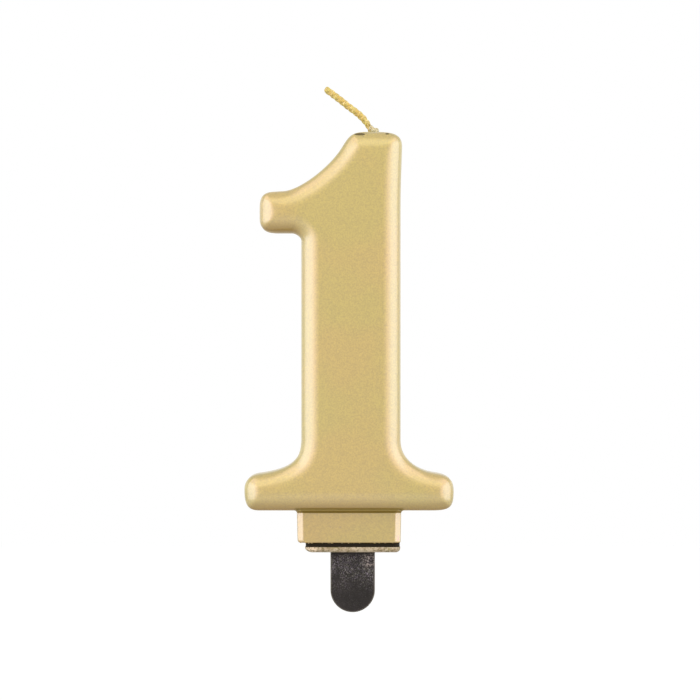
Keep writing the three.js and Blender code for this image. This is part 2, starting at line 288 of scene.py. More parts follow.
def moved_in(points, ways, nearest, inset):
    """The outline moved in. Where the moved line would cross itself at a tight corner, the crossed
    stretch is gathered into the one point where its two sides meet, which makes a mitre."""
    moved = [point + way * inset for point, way in zip(points, ways)]
    if inset == 0:
        return moved
    count = len(moved)
    clear = [nearest.find(place)[2] > inset - crossing_slack for place in moved]
    for i in range(count):
        if not clear[i - 1] and not all(clear[(i + k) % count] for k in range(crossing_gap)):
            clear[i] = False
    first = next((i for i in range(count) if clear[i - 1] and not clear[i]), None)
    if first is None:
        return moved
    step = 0
    while step < count:
        start = (first + step) % count
        run = 0
        while not clear[(start + run) % count]:
            run += 1
        if run:
            meeting = (moved[start - 1] + moved[(start + run) % count]) / 2
            for k in range(run):
                moved[(start + k) % count] = meeting
        step += max(run, 1)
    return moved


def skin(bm, rings, merge=0.0005):
    """A closed skin: a ring of vertices extruded from place to place, with its ends filled."""
    count = len(rings[0])
    ring = bmesh.ops.create_circle(bm, segments=count, radius=1)["verts"]
    for vertex, place in zip(ring, rings[0]):
        vertex.co = place
    for places in rings[1:]:
        edges = [bm.edges.get((ring[i - 1], ring[i])) for i in range(count)]
        made = bmesh.ops.extrude_edge_only(bm, edges=edges)["geom"]
        fresh = {item for item in made if isinstance(item, bmesh.types.BMVert)}
        others = [[edge.other_vert(vertex) for edge in vertex.link_edges] for vertex in ring]
        ring = [next(other for other in near if other in fresh) for near in others]
        for vertex, place in zip(ring, places):
            vertex.co = place
    bmesh.ops.remove_doubles(bm, verts=bm.verts, dist=merge)
    bmesh.ops.holes_fill(bm, edges=[edge for edge in bm.edges if edge.is_boundary], sides=0)
    bmesh.ops.recalc_face_normals(bm, faces=bm.faces)


def rounded_slab(outline, longest, turn, half_thickness, rounding, width, steps, hold, place):
    """Rings of a slab with a flat front and back and rounded edges, which may be wider than they
    are deep. The outline lies in X and Y, and place puts each of its points where it belongs."""
    ways = inward_ways(outline)
    picks = chosen(outline, ways, longest, turn)
    nearest = KDTree(len(outline))
    for i, point in enumerate(outline):
        nearest.insert(point, i)
    nearest.balance()
    straight = half_thickness - rounding
    levels = [(width + hold, half_thickness)]
    for k in range(steps, -1, -1):
        angle = k / steps * math.pi / 2
        levels.append((width * (1 - math.cos(angle)), straight + rounding * math.sin(angle)))
    fronts = []
    backs = []
    for inset, out in levels:
        moved = moved_in(outline, ways, nearest, inset)
        fronts.append([place(moved[i].x, moved[i].y, -out) for i in picks])
        backs.append([place(moved[i].x, moved[i].y, out) for i in picks])
    return fronts + backs[::-1]


def solid(name, bm):
    """An object from a mesh in millimetres."""
    data = bpy.data.meshes.new(name)
    bm.to_mesh(data)
    bm.free()
    made = bpy.data.objects.new(name, data)
    bpy.context.collection.objects.link(made)
    return made


def join_or_cut(body, tool, operation):
    """Joins a tool solid to a body or cuts it away, and keeps the result as the body's mesh."""
    step = body.modifiers.new("step", "BOOLEAN")
    step.operation = operation
    step.solver = "MANIFOLD"
    step.object = tool
    made = body.evaluated_get(bpy.context.evaluated_depsgraph_get())
    result = bpy.data.meshes.new_from_object(made)
    body.modifiers.clear()
    body.data = result
    bpy.data.objects.remove(tool)


def join_loose(body, bm):
    """Adds separate small shapes to a body's mesh."""
    data = bpy.data.meshes.new("loose")
    bm.to_mesh(data)
    bm.free()
    whole = bmesh.new()
    whole.from_mesh(body.data)
    whole.from_mesh(data)
    whole.to_mesh(body.data)
    whole.free()
    bpy.data.meshes.remove(data)


def hand_over(body, finishes, sharp_angle):
    """Brings a solid to metres, gives it its finishes, and smooths all but its sharp edges."""
    body.data.transform(Matrix.Scale(MM, 4))
    body.data.materials.clear()
    for finish in finishes:
        body.data.materials.append(finish)
    body.data.shade_smooth()
    body.data.set_sharp_from_angle(angle=math.radians(sharp_angle))


def at(x, y):
    return Vector((x, y, 0))


base_rise = base_half - stem_right
sweep_x = flag_high - digit_height - flag_left * flag_slope + shoulder_x * sweep_slope
sweep_x /= sweep_slope - flag_slope
digit_corners = [
    (at(base_half, 0), 4.3, 3.72, 0.85),
    (at(base_half, base_tip_height), 2.83, 3.4, 0.72),
    (at(stem_right, base_tip_height + base_rise * base_slope), 6.8, 5.5, 0.62),
    (at(stem_right, stem_flare_height), 3, 3, 0.55),
    (at(stem_right + stem_flare, digit_height), 3.1, 4.8, 0.75),
    (at(shoulder_x, digit_height), 3.4, 3.3, 0.88),
    (at(sweep_x, flag_high + (sweep_x - flag_left) * flag_slope), 9.4, 6.35, 0.48),
    (at(flag_left, flag_high), 2.8, 3.1, 0.77),
    (at(flag_left, flag_low), 2.9, 3.6, 0.77),
    (at(stem_left, flag_low), 1.95, 1.75, 0.5),
    (at(stem_left, base_tip_height + (base_half + stem_left) * base_slope), 5.65, 8.1, 0.76),
    (at(-base_half, base_tip_height), 2.8, 2.5, 0.63),
    (at(-base_half, 0), 4, 2.85, 0.75),
]


def digit_place(x, y, out):
    return Vector((x + body_x, out, y + digit_bottom))


digit = bmesh.new()
digit_outline = rounded_outline(digit_corners, 0.05)
digit_rings = rounded_slab(
    digit_outline, longest=0.8, turn=2.5, half_thickness=half_depth, rounding=edge_round,
    width=edge_width, steps=edge_steps, hold=holding_inset, place=digit_place,
)
skin(digit, digit_rings, merge=slab_merge)
softened = [vertex for vertex in digit.verts if abs(vertex.co.y) > soft_from]
for k in range(soft_rounds):
    bmesh.ops.smooth_vert(digit, verts=softened, factor=0.5, use_axis_x=True, use_axis_y=True,
                          use_axis_z=True)
casting = solid("wax_casting", digit)

# The foot narrows a little downwards, its lower edge is rounded, more so on the left, and it meets
# the digit in a fillet at its sides and a slanting neck at its front and back.
foot_x = foot_half_width
foot_y = foot_half_depth
inner_x = foot_x - chamfer_across
inner_y = foot_y - chamfer_deep
places = [
    (foot_x, -inner_y), (foot_x, inner_y), (inner_x, foot_y), (-inner_x, foot_y),
    (-foot_x, inner_y), (-foot_x, -inner_y), (-inner_x, -foot_y), (inner_x, -foot_y),
]
foot_corners = [(at(*spot), foot_edge, foot_edge, 0.55) for spot in places]
foot_outline = rounded_outline(foot_corners, foot_edge)


def foot_ring(z, spread_x, spread_y, left_in=0):
    """The foot's section at a height: a rectangle with chamfered corners, softened a little, which
    is spread out in X and Y, and drawn in by left_in on its left half."""
    drawn_in = foot_draft * (digit_bottom - z) / foot_height
    ring = []
    for point in foot_outline:
        spread = spread_x - left_in if point.x < 0 else spread_x
        x = point.x * (1 + (spread - drawn_in) / foot_x)
        y = point.y * (1 + (spread_y - drawn_in) / foot_y)
        ring.append(Vector((x + body_x, y, z)))
    return ring


def toe_in(radius, rise):
    """How far a rounded lower edge is drawn in at a height above the foot's underside."""
    return radius - math.sqrt(radius ** 2 - max(radius - rise, 0) ** 2)


foot_rings = []
for k in range(toe_steps + 1):
    rise = foot_toe_left * (1 - math.cos(k / toe_steps * math.pi / 2))
    drawn = toe_in(foot_toe, rise)
    left_in = toe_in(foot_toe_left, rise) - drawn
    foot_rings.append(foot_ring(flange_top + rise, -drawn, -drawn, left_in))
foot_rings.append(foot_ring(flange_top + foot_toe_left + foot_toe, 0, 0))
foot_rings.append(foot_ring(digit_bottom - fillet_side - 0.1, 0, 0))
foot_rings.append(foot_ring(digit_bottom - neck_height, 0, 0))
for k in range(2, fillet_steps + 1):
    angle = k / fillet_steps * math.pi / 2
    z = digit_bottom - fillet_side * (1 - math.sin(angle))
    share = max(0, 1 - (digit_bottom - z) / neck_height)
    foot_rings.append(foot_ring(z, fillet_side * (1 - math.cos(angle)), neck_depth * share))
foot_rings.append(foot_ring(digit_bottom + edge_round / 2, fillet_side, neck_depth))
foot = bmesh.new()
skin(foot, foot_rings)
join_or_cut(casting, solid("foot", foot), "UNION")

# The slot that the pick's tang slides into, and the bore that holds the wick.
slot_half_width = 4.1
slot_half_depth = 1.3
slot_top = 11
bore_x = 3.35
bore_radius = 0.78
bore_bottom = 15.8
wax_skin = 0.4
slot = bmesh.new()
bmesh.ops.create_cube(slot, size=2)
slot_height = slot_top - flange_top + 1
bmesh.ops.scale(slot, vec=(slot_half_width, slot_half_depth, slot_height / 2), verts=slot.verts)
bmesh.ops.translate(slot, vec=(0, 0, slot_top - slot_height / 2), verts=slot.verts)
join_or_cut(casting, solid("slot", slot), "DIFFERENCE")
bore = bmesh.new()
bore_height = high.z - wax_skin - bore_bottom
bmesh.ops.create_cone(bore, cap_ends=True, segments=32, radius1=bore_radius, radius2=bore_radius,
                      depth=bore_height)
bmesh.ops.translate(bore, vec=(bore_x, 0, bore_bottom + bore_height / 2), verts=bore.verts)
join_or_cut(casting, solid("bore", bore), "DIFFERENCE")

# Two small sink marks in the rounding along the top, each with its middle, half length, half
# height and depth, and how far up the rounding it lies.
sink_marks = [(1.36, 1.18, 0.40, 0.26, 55), (6.60, 0.44, 0.26, 0.16, 58)]
for mark_x, half_length, half_width, depth, rise in sink_marks:
    pit = bmesh.new()
    bmesh.ops.create_icosphere(pit, subdivisions=4, radius=1)
    turn = math.radians(rise)
    middle = Vector((mark_x, edge_round - half_depth - edge_round * math.cos(turn),
                     high.z - edge_round + edge_round * math.sin(turn)))
    bmesh.ops.scale(pit, vec=(half_length, half_width, depth), verts=pit.verts)
    bmesh.ops.rotate(pit, matrix=Matrix.Rotation(math.radians(90 - rise), 3, "X"), verts=pit.verts)
    bmesh.ops.translate(pit, vec=middle, verts=pit.verts)
    join_or_cut(casting, solid("pit", pit), "DIFFERENCE")

# Crumbs of lacquer that hang from the foot's lower edge, each a small stretched ball.
crumb_count = 150
crumb_sizes = (0.04, 0.13)
crumb_height = 0.03
chance = random.Random(7)
edge_x = foot_half_width - foot_draft - foot_toe
edge_y = foot_half_depth - foot_draft - foot_toe
left_edge_x = foot_toe_left + foot_draft - foot_half_width
crumbs = bmesh.new()
for k in range(crumb_count):
    along = chance.uniform(-1, 1)
    side = chance.choice(("front", "front", "back", "left", "right"))
    if side in ("front", "back"):
        place = Vector((along * (edge_x - 1), -edge_y if side == "front" else edge_y, 0))
    else:
        place = Vector((left_edge_x if side == "left" else edge_x, along * (edge_y - 1), 0))
    size = chance.uniform(*crumb_sizes)
    stretch = Matrix.Diagonal((chance.uniform(0.8, 1.8), 1, chance.uniform(0.8, 1.5), 1))
    place += Vector((body_x, 0, flange_top + crumb_height))
    turned = Matrix.Rotation(chance.uniform(0, 3), 4, "Y")
    bmesh.ops.create_icosphere(crumbs, subdivisions=1, radius=size,
                               matrix=Matrix.Translation(place) @ stretch @ turned)
join_loose(casting, crumbs)


def new_group(name, inputs, outputs):
    """An empty node group with these inputs, each a name, a kind and a value, and outputs."""
    group = bpy.data.node_groups.new(name, "ShaderNodeTree")
    for title, kind, value in inputs:
        socket = group.interface.new_socket(title, in_out="INPUT", socket_type="NodeSocket" + kind)
        if kind == "Float":
            socket.default_value = value
    for title, kind in outputs:
        group.interface.new_socket(title, in_out="OUTPUT", socket_type="NodeSocket" + kind)
    given = group.nodes.new("NodeGroupInput").outputs
    return group, given, group.nodes.new("NodeGroupOutput").inputs


def noise(tree, vector, scale, detail):
    """The grey of a noise texture."""
    sockets = {"Vector": vector, "Scale": scale, "Detail": detail}
    return add_node(tree, "TexNoise", sockets).outputs["Fac"]


# Grain: a value that wavers about 1, for colour, and the same grain as a height.
grain, given, result = new_group(
    "fine_grain",
    [("Vector", "Vector", None), ("Scale", "Float", 3000), ("Amount", "Float", 0.1)],
    [("Value", "Float"), ("Height", "Float")],
)
specks = noise(grain, given["Vector"], given["Scale"], 2)
height = add_node(grain, "MapRange", {
    "Value": specks, "From Min": 0.3, "From Max": 0.7, "To Min": -1, "To Max": 1,
}).outputs["Result"]
waver = worked_out(grain, "MULTIPLY_ADD", height, given["Amount"], 1.0)
grain.links.new(waver, result["Value"])
grain.links.new(height, result["Height"])

# Flecks: a mask of scattered spots, 1 in a spot. A greater share gives more and bigger spots.
flecks, given, result = new_group(
    "flecks",
    [
        ("Vector", "Vector", None), ("Scale", "Float", 1500),
        ("Share", "Float", 0.4), ("Softness", "Float", 0.08),
    ],
    [("Mask", "Float")],
)
spots = noise(flecks, given["Vector"], given["Scale"], 3)
start = worked_out(flecks, "SUBTRACT", 1.0, given["Share"])
end = worked_out(flecks, "ADD", start, given["Softness"])
mask = add_node(flecks, "MapRange", {
    "Value": spots, "From Min": start, "From Max": end,
}, interpolation_type="SMOOTHSTEP")
flecks.links.new(mask.outputs["Result"], result["Mask"])


def grained(tree, vector, scale, amount):
    """The grain's outputs, placed in a material."""
    sockets = {"Vector": vector, "Scale": scale, "Amount": amount}
    return add_node(tree, "Group", sockets, node_tree=grain).outputs


def flecked(tree, vector, scale, share, softness):
    """The flecks' mask, placed in a material."""
    sockets = {"Vector": vector, "Scale": scale, "Share": share, "Softness": softness}
    return add_node(tree, "Group", sockets, node_tree=flecks).outputs["Mask"]


def ramp(tree, value, low_end, high_end):
    """A mask that goes smoothly from 0 at the low end to 1 at the high end, either way round."""
    turned = low_end > high_end
    settings = {"Value": value, "From Min": min(low_end, high_end), "From Max": max(low_end, high_end)}
    settings["To Min"] = 1 if turned else 0
    settings["To Max"] = 0 if turned else 1
    return add_node(tree, "MapRange", settings, interpolation_type="SMOOTHSTEP").outputs["Result"]


def near(tree, coordinates, place, inner, outer):
    """A mask that is 1 within the inner distance of a place and 0 beyond the outer, in mm."""
    away = add_node(tree, "VectorMath", {0: coordinates, 1: Vector(place) * MM}, operation="DISTANCE")
    return ramp(tree, away.outputs["Value"], outer * MM, inner * MM)


def times(tree, first, second):
    """Two values or masks multiplied."""
    return worked_out(tree, "MULTIPLY", first, second)


def between(tree, mask, at_zero, at_one):
    """A value that goes from one number to another as a mask goes from 0 to 1."""
    sockets = {"Value": mask, "To Min": at_zero, "To Max": at_one}
    return add_node(tree, "MapRange", sockets).outputs["Result"]


def coloured(tree, mask, under, over, blend_type="MIX"):
    """A colour with another one laid over it where the mask is 1."""
    made = add_node(tree, "Mix", data_type="RGBA", blend_type=blend_type)
    for socket, value in zip((made.inputs[0], made.inputs[6], made.inputs[7]), (mask, under, over)):
        if isinstance(value, bpy.types.NodeSocket):
            tree.links.new(value, socket)
        elif isinstance(value, tuple):
            socket.default_value = value + (1,)
        else:
            socket.default_value = value
    return made.outputs[2]


def new_material(name):
    """A material, its node tree, and its shader's inputs."""
    made = bpy.data.materials.new(name)
    made.use_nodes = True
    return made, made.node_tree, made.node_tree.nodes["Principled BSDF"].inputs


# The lacquer: cloudy gold with a fine grain, more coppery on the foot. Painted shade darkens it where a
# face looks down and in the crease above the foot, a painted highlight lightens the foot's chamfers,
# the sink marks are coloured dark inside, and it is chipped at the foot's specks and nick.
gold_tan = (0.328, 0.247, 0.038)
gold_olive = (0.311, 0.254, 0.034)
copper_tint = (0.93, 0.88, 0.80)
copper_top = 7.2
underside_shade_gold = (0.22, 0.12, 0.010)
crease_shade_brown = (0.15, 0.11, 0.015)
crease_start = 7.4
crease_dark_to = 8.1
crease_end = 8.65
crease_half_width = 10
painted_chamfer_highlight = (0.75, 0.55, 0.30)
bevel_blur = 0.06
specks_on_foot = [(-4.23, 4.75, 0.12), (-2.36, 4.72, 0.15), (-3.2, 4.6, 0.10)]
speck_brown = (0.16, 0.11, 0.06)
nick_x = 8.6
nick_y = -3.7
nick_heights = (2.9, 2.65, 2.4, 2.2)
nick_red = (0.45, 0.20, 0.11)
mark_olive = (0.080, 0.066, 0.024)
lacquer, tree, gold = new_material("gold_lacquer")
where = add_node(tree, "TexCoord").outputs["Object"]
place = add_node(tree, "SeparateXYZ", {"Vector": where}).outputs
clouds = add_node(tree, "TexNoise", {"Vector": where, "Scale": 75, "Detail": 2, "Roughness": 0.4})
cloudy = ramp(tree, clouds.outputs["Fac"], 0.38, 0.62)
colour = coloured(tree, cloudy, gold_tan, gold_olive)
coppery = ramp(tree, place["Z"], (copper_top + 0.8) * MM, copper_top * MM)
colour = coloured(tree, coppery, colour, copper_tint, "MULTIPLY")
fine = grained(tree, where, scale=3400, amount=0.19)
broad = grained(tree, where, scale=700, amount=0.02)
both = times(tree, fine["Value"], broad["Value"])
colour = coloured(tree, 1.0, colour, both, "MULTIPLY")
facing = add_node(tree, "SeparateXYZ", {"Vector": add_node(tree, "TexCoord").outputs["Normal"]}).outputs
# Painted shade: faces that look down are darkened towards a brown gold, and their coat is weakened.
painted_underside_shade = ramp(tree, facing["Z"], -0.15, -1.0)
colour = coloured(tree, times(tree, painted_underside_shade, 0.75), colour, underside_shade_gold)
off_middle = worked_out(tree, "ABSOLUTE", worked_out(tree, "SUBTRACT", place["X"], body_x * MM))
off_depth = worked_out(tree, "ABSOLUTE", place["Y"])
# Painted shade: the crease where the digit meets the foot is darkened to brown, and its coat weakened.
painted_crease_shade = times(
    tree,
    ramp(tree, place["Z"], crease_end * MM, crease_dark_to * MM),
    ramp(tree, off_middle, (crease_half_width + 0.6) * MM, crease_half_width * MM),
)
above_foot = ramp(tree, place["Z"], (crease_start - 0.02) * MM, (crease_start + 0.02) * MM)
painted_crease_shade = times(tree, painted_crease_shade, above_foot)
colour = coloured(tree, times(tree, painted_crease_shade, 0.8), colour, crease_shade_brown)
gloss = times(tree, between(tree, painted_crease_shade, 1.0, 0.3), between(tree, painted_underside_shade, 1.0, 0.3))
# Painted highlight: the foot's chamfers are lightened towards cream.
past_x = ramp(tree, off_middle, (inner_x - bevel_blur) * MM, (inner_x + bevel_blur) * MM)
past_y = ramp(tree, off_depth, (inner_y - bevel_blur) * MM, (inner_y + bevel_blur) * MM)
chamfer_highlight_mask = times(tree, times(tree, past_x, coppery), past_y)
colour = coloured(tree, times(tree, chamfer_highlight_mask, 0.2), colour, painted_chamfer_highlight)
for speck_x, speck_z, size in specks_on_foot:
    speck = near(tree, where, (speck_x, -foot_half_depth, speck_z), size * 0.5, size * 1.8)
    colour = coloured(tree, times(tree, speck, 0.7), colour, speck_brown)
for nick_z in nick_heights:
    chip = near(tree, where, (nick_x, nick_y, nick_z), 0.08, 0.3)
    colour = coloured(tree, chip, colour, nick_red)
# The sink marks are coloured dark olive inside and made less glossy.
for mark_x, half_length, half_width, depth, rise in sink_marks:
    half_height = (half_width + 0.08) * math.cos(math.radians(rise))
    squeezed = add_node(tree, "VectorMath", {
        0: where, 1: (1 / half_length, 0.0, 1 / half_height),
    }, operation="MULTIPLY").outputs[0]
    middle_z = high.z - edge_round + edge_round * math.sin(math.radians(rise)) - 0.1 * depth
    away = add_node(tree, "VectorMath", {
        0: squeezed, 1: (mark_x / half_length * MM, 0.0, middle_z / half_height * MM),
    }, operation="DISTANCE").outputs["Value"]
    in_front = ramp(tree, place["Y"], 0.0, -1 * MM)
    pit_darkening = times(tree, ramp(tree, away, 1.0 * MM, 0.75 * MM), in_front)
    colour = coloured(tree, pit_darkening, colour, mark_olive)
    gloss = times(tree, gloss, between(tree, pit_darkening, 1.0, 0.15))
tree.links.new(colour, gold["Base Color"])
dull = add_node(tree, "MapRange", {
    "Value": fine["Height"], "From Min": -1, "From Max": 1, "To Min": 0.58, "To Max": 0.66,
})
tree.links.new(dull.outputs["Result"], gold["Roughness"])
pimpled = add_node(tree, "Bump", {"Height": fine["Height"], "Strength": 0.12, "Distance": 0.02 * MM})
tree.links.new(pimpled.outputs["Normal"], gold["Normal"])
gold["Metallic"].default_value = 0.5
tree.links.new(gloss, gold["Coat Weight"])
gold["Coat Roughness"].default_value = 0.28
gold["Coat IOR"].default_value = 2.2
gold["Specular Tint"].default_value = (0.80, 0.75, 0.42, 1)

# Bare wax, which shows only in the slot and the bore.
bare_cream = (0.78, 0.71, 0.55)
bare, tree, wax = new_material("bare_wax")
milky = grained(tree, add_node(tree, "TexCoord").outputs["Object"], scale=900, amount=0.06)
tree.links.new(coloured(tree, 1.0, bare_cream, milky["Value"], "MULTIPLY"), wax["Base Color"])
wax["Roughness"].default_value = 0.45
wax["Subsurface Weight"].default_value = 0.3
wax["Subsurface Scale"].default_value = 1.5 * MM

for face in casting.data.polygons:
    spot = face.center
    in_slot = abs(spot.x) < slot_half_width + 0.01 and abs(spot.y) < slot_half_depth + 0.01
    in_bore = math.hypot(spot.x - bore_x, spot.y) < bore_radius + 0.01 and spot.z < high.z - 0.1
    face.material_index = int(in_slot and spot.z < slot_top + 0.1 or in_bore)
hand_over(casting, [lacquer, bare], sharp_angle=40)
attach(casting, "candle")
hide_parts("wax_body")


# The pick: one moulding in black plastic, with a flange between the round-ended tongue that goes
# into the cake and the tang that the foot slides over. It is matt and dusty, and the flange's
# lower rim caught the gold spray, which has flaked.
flange_half_width = 9.1
flange_half_depth = 3.5
flange_corner = 1.3
flange_bottom = -0.17
rim_top = 0.84
rim_round = 0.85
left_round = 1.45
rim_steps = 12
step_inset = 0.12
tongue_half_width = 4.25
tongue_bottom = -11.72
tang_half_width = 3.8
tang_chamfer = 1.2
tang_top = 10.7
blade_half_thickness = 1
blade_edge = 0.2

# Each level of the flange has its inset and its height, and the rounded ones come first. These are
# drawn in further on the left, where the rim is worn rounder.
flange_levels = []
for k in range(rim_steps + 1):
    angle = k / rim_steps * math.pi / 2
    inset = rim_round * (1 - math.sin(angle))
    flange_levels.append((inset, flange_bottom + rim_round * (1 - math.cos(angle))))
flange_levels += [(0, rim_top - 0.06), (0.02, rim_top - 0.02), (0.06, rim_top)]
flange_levels += [(step_inset, rim_top), (step_inset, flange_top - 0.05), (0.2, flange_top)]
places = [
    (flange_half_width, -flange_half_depth), (flange_half_width, flange_half_depth),
    (-flange_half_width, flange_half_depth), (-flange_half_width, -flange_half_depth),
]
flange_corners = [(at(*spot), flange_corner, flange_corner, 0.55) for spot in places]
flange_outline = rounded_outline(flange_corners, 0.1)
ways = inward_ways(flange_outline)
picks = chosen(flange_outline, ways, longest=0.8, turn=5)
rings = []
for k, (inset, z) in enumerate(flange_levels):
    ring = []
    for i in picks:
        wider = max(ways[i].x, 0) * (left_round / rim_round - 1) if k <= rim_steps else 0
        ring.append(flange_outline[i] + ways[i] * inset * (1 + wider) + Vector((0, 0, z)))
    rings.append(ring)
flange = bmesh.new()
skin(flange, rings)
pick = solid("black_pick", flange)

# The blade: tongue and tang in one flat outline, whose shoulders lie inside the flange.
inner = rim_top / 2
round_start = tongue_bottom + tongue_half_width
tongue_round = tongue_half_width - 0.01
blade_corners = [
    (at(tongue_half_width, tongue_bottom), tongue_round, tongue_round, 0.5523),
    (at(tongue_half_width, inner), 0.1, 0.1, 0.55),
    (at(tang_half_width, inner), 0.1, 0.1, 0.55),
    (at(tang_half_width, tang_top - tang_chamfer), 0.15, 0.15, 0.55),
    (at(tang_half_width - tang_chamfer, tang_top), 0.15, 0.15, 0.55),
    (at(tang_chamfer - tang_half_width, tang_top), 0.15, 0.15, 0.55),
    (at(-tang_half_width, tang_top - tang_chamfer), 0.15, 0.15, 0.55),
    (at(-tang_half_width, inner), 0.1, 0.1, 0.55),
    (at(-tongue_half_width, inner), 0.1, 0.1, 0.55),
    (at(-tongue_half_width, tongue_bottom), tongue_round, tongue_round, 0.5523),
]
blade_rings = rounded_slab(
    rounded_outline(blade_corners, 0.1), longest=0.8, turn=5, half_thickness=blade_half_thickness,
    rounding=blade_edge, width=blade_edge, steps=5, hold=0.1, place=lambda x, y, out: Vector((x, out, y)),
)
blade = bmesh.new()
skin(blade, blade_rings, merge=0.001)
join_or_cut(pick, solid("blade", blade), "UNION")

# The tongue's black is smeared and dusted with fine grit, mostly in its upper half, and a strip just
# under the flange is kept free of dust as painted shade. Its edge is lighter grey. A denser patch of
# grit lies at its upper right.
black_low = (0.0085, 0.0092, 0.0110)
black_high = (0.0160, 0.0162, 0.0180)
dusty_from = -8.2
dusty_to = -3.2
shade_strip_above = -0.3
grit_mauve = (0.265, 0.255, 0.305)
grit_green = (0.285, 0.30, 0.265)
edge_grey = (0.16, 0.16, 0.13)
patch_middle = (3.2, -1, -1.8)
patch_grey = (0.33, 0.31, 0.28)
plastic, tree, black = new_material("black_plastic")
where = add_node(tree, "TexCoord").outputs["Object"]
place = add_node(tree, "SeparateXYZ", {"Vector": where}).outputs
charcoal = grained(tree, where, scale=2200, amount=0.10)
patchy = ramp(tree, noise(tree, where, scale=260, detail=3), 0.35, 0.68)
colour = coloured(tree, patchy, black_low, black_high)
colour = coloured(tree, 1.0, colour, charcoal["Value"], "MULTIPLY")
upper = ramp(tree, place["Z"], dusty_from * MM, dusty_to * MM)
dust = flecked(tree, where, scale=7600, share=0.50, softness=0.16)
drifts = ramp(tree, noise(tree, where, scale=420, detail=2), 0.15, 0.65)
# Painted shade: no dust just under the flange, so a strip there stays black.
past_shade_strip = ramp(tree, place["Z"], shade_strip_above * MM, (shade_strip_above - 0.9) * MM)
settled = times(tree, times(tree, dust, drifts), past_shade_strip)
settled = times(tree, settled, between(tree, upper, 0.08, 0.78))
tinted = noise(tree, where, scale=2400, detail=1)
grit = coloured(tree, ramp(tree, tinted, 0.4, 0.6), grit_mauve, grit_green)
colour = coloured(tree, settled, colour, grit)
sunk = worked_out(tree, "MINIMUM", worked_out(tree, "ADD", place["Z"], -round_start * MM), 0.0)
from_middle = add_node(tree, "CombineXYZ", {"X": place["X"], "Z": sunk}).outputs[0]
outness = add_node(tree, "VectorMath", {0: from_middle}, operation="LENGTH").outputs["Value"]
# The tongue is lighter grey near its edge.
lighter_edge = ramp(tree, outness, (tongue_half_width - 0.3) * MM, (tongue_half_width - 0.1) * MM)
colour = coloured(tree, times(tree, lighter_edge, 0.5), colour, edge_grey)
patch = near(tree, where, patch_middle, inner=0.5, outer=1.9)
thick = flecked(tree, where, scale=3600, share=0.54, softness=0.14)
colour = coloured(tree, times(tree, times(tree, patch, thick), 0.75), colour, patch_grey)

# The flange: black plastic above its step, made a deeper black there as painted shade of the gap under
# the foot, and on the rim a flaking film of gold spray, mottled, green in places, with a painted
# highlight near its left end.
step_black_and_shade = (0.0025, 0.0015, 0.0002)
film_dark = (0.35, 0.30, 0.20)
film_pale = (0.49, 0.45, 0.32)
film_green = (0.29, 0.28, 0.12)
film_highlight_cream = (0.66, 0.58, 0.42)
highlight_middle = (-7.8, -3.5, 0.6)
flaked_brown = (0.17, 0.15, 0.07)
on_flange = worked_out(tree, "GREATER_THAN", place["Z"], (flange_bottom - 0.02) * MM)
below_step = worked_out(tree, "LESS_THAN", place["Z"], (rim_top + 0.02) * MM)
on_rim = times(tree, on_flange, below_step)
above_rim = worked_out(tree, "GREATER_THAN", place["Z"], (rim_top + 0.02) * MM)
# Above the rim: black plastic, darkened further as painted shade of the gap under the foot.
colour = coloured(tree, above_rim, colour, step_black_and_shade)
spray = ramp(tree, place["Z"], (flange_bottom - 0.02) * MM, (flange_bottom + 0.10) * MM)
flaking = flecked(tree, where, scale=2700, share=0.69, softness=0.26)
mottle = noise(tree, where, scale=800, detail=3)
film = coloured(tree, ramp(tree, mottle, 0.38, 0.62), film_dark, film_pale)
green = add_node(tree, "TexNoise", {
    "Vector": where, "Scale": 620, "Detail": 1, "W": 4.0,
}, noise_dimensions="4D").outputs["Fac"]
film = coloured(tree, ramp(tree, green, 0.57, 0.70), film, film_green)
# Painted highlight: the film is lightened to cream near the rim's left end.
film = coloured(tree, near(tree, where, highlight_middle, inner=0.5, outer=1.5), film, film_highlight_cream)
coverage = times(tree, times(tree, on_rim, spray), flaking)
colour = coloured(tree, on_rim, colour, flaked_brown)
colour = coloured(tree, coverage, colour, film)
tree.links.new(colour, black["Base Color"])
black["Specular IOR Level"].default_value = 0.2
black["Specular Tint"].default_value = (1.0, 0.93, 0.70, 1)
tree.links.new(between(tree, coverage, 0.62, 0.45), black["Roughness"])
relief = worked_out(tree, "MULTIPLY_ADD", charcoal["Height"], 0.3, coverage)
raised = add_node(tree, "Bump", {"Height": relief, "Strength": 0.35, "Distance": 0.03 * MM})
tree.links.new(raised.outputs["Normal"], black["Normal"])
hand_over(pick, [plastic], sharp_angle=35)
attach(pick, "pick")
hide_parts("cake_pick")


# The wick: a cord braided from six cotton strands, three each way, waxed and sprayed with gold.
# It runs down through the candle, and above its root, where it thins a little, it leans left.
wick_line = [
    (3.35, 16.05), (3.35, 40), (3.35, 70), (3.38, 78.5), (3.44, 79.7), (3.46, 80.4), (3.13, 81.23),
    (2.50, 82.24), (1.48, 83.38), (0.30, 84.33), (-0.91, 85.22), (-2.11, 86.20), (-3.39, 87.17),
    (-4.54, 88.04), (-5.32, 88.55),
]
strand_pairs = 3
braid_step = 0.56
braid_radius = 0.47
braid_weave = 0.05
strand_half_width = 0.33
strand_half_height = 0.17
strand_sides = 8
core_radius = 0.57
core_sides = 12
hidden_step = 0.5
shown_step = 0.09
shown_z = 79.4
tip_length = 0.55
tip_least = 0.02
thin_root = 0.72
thin_below_z = 80.3
thicken_height = 2.6

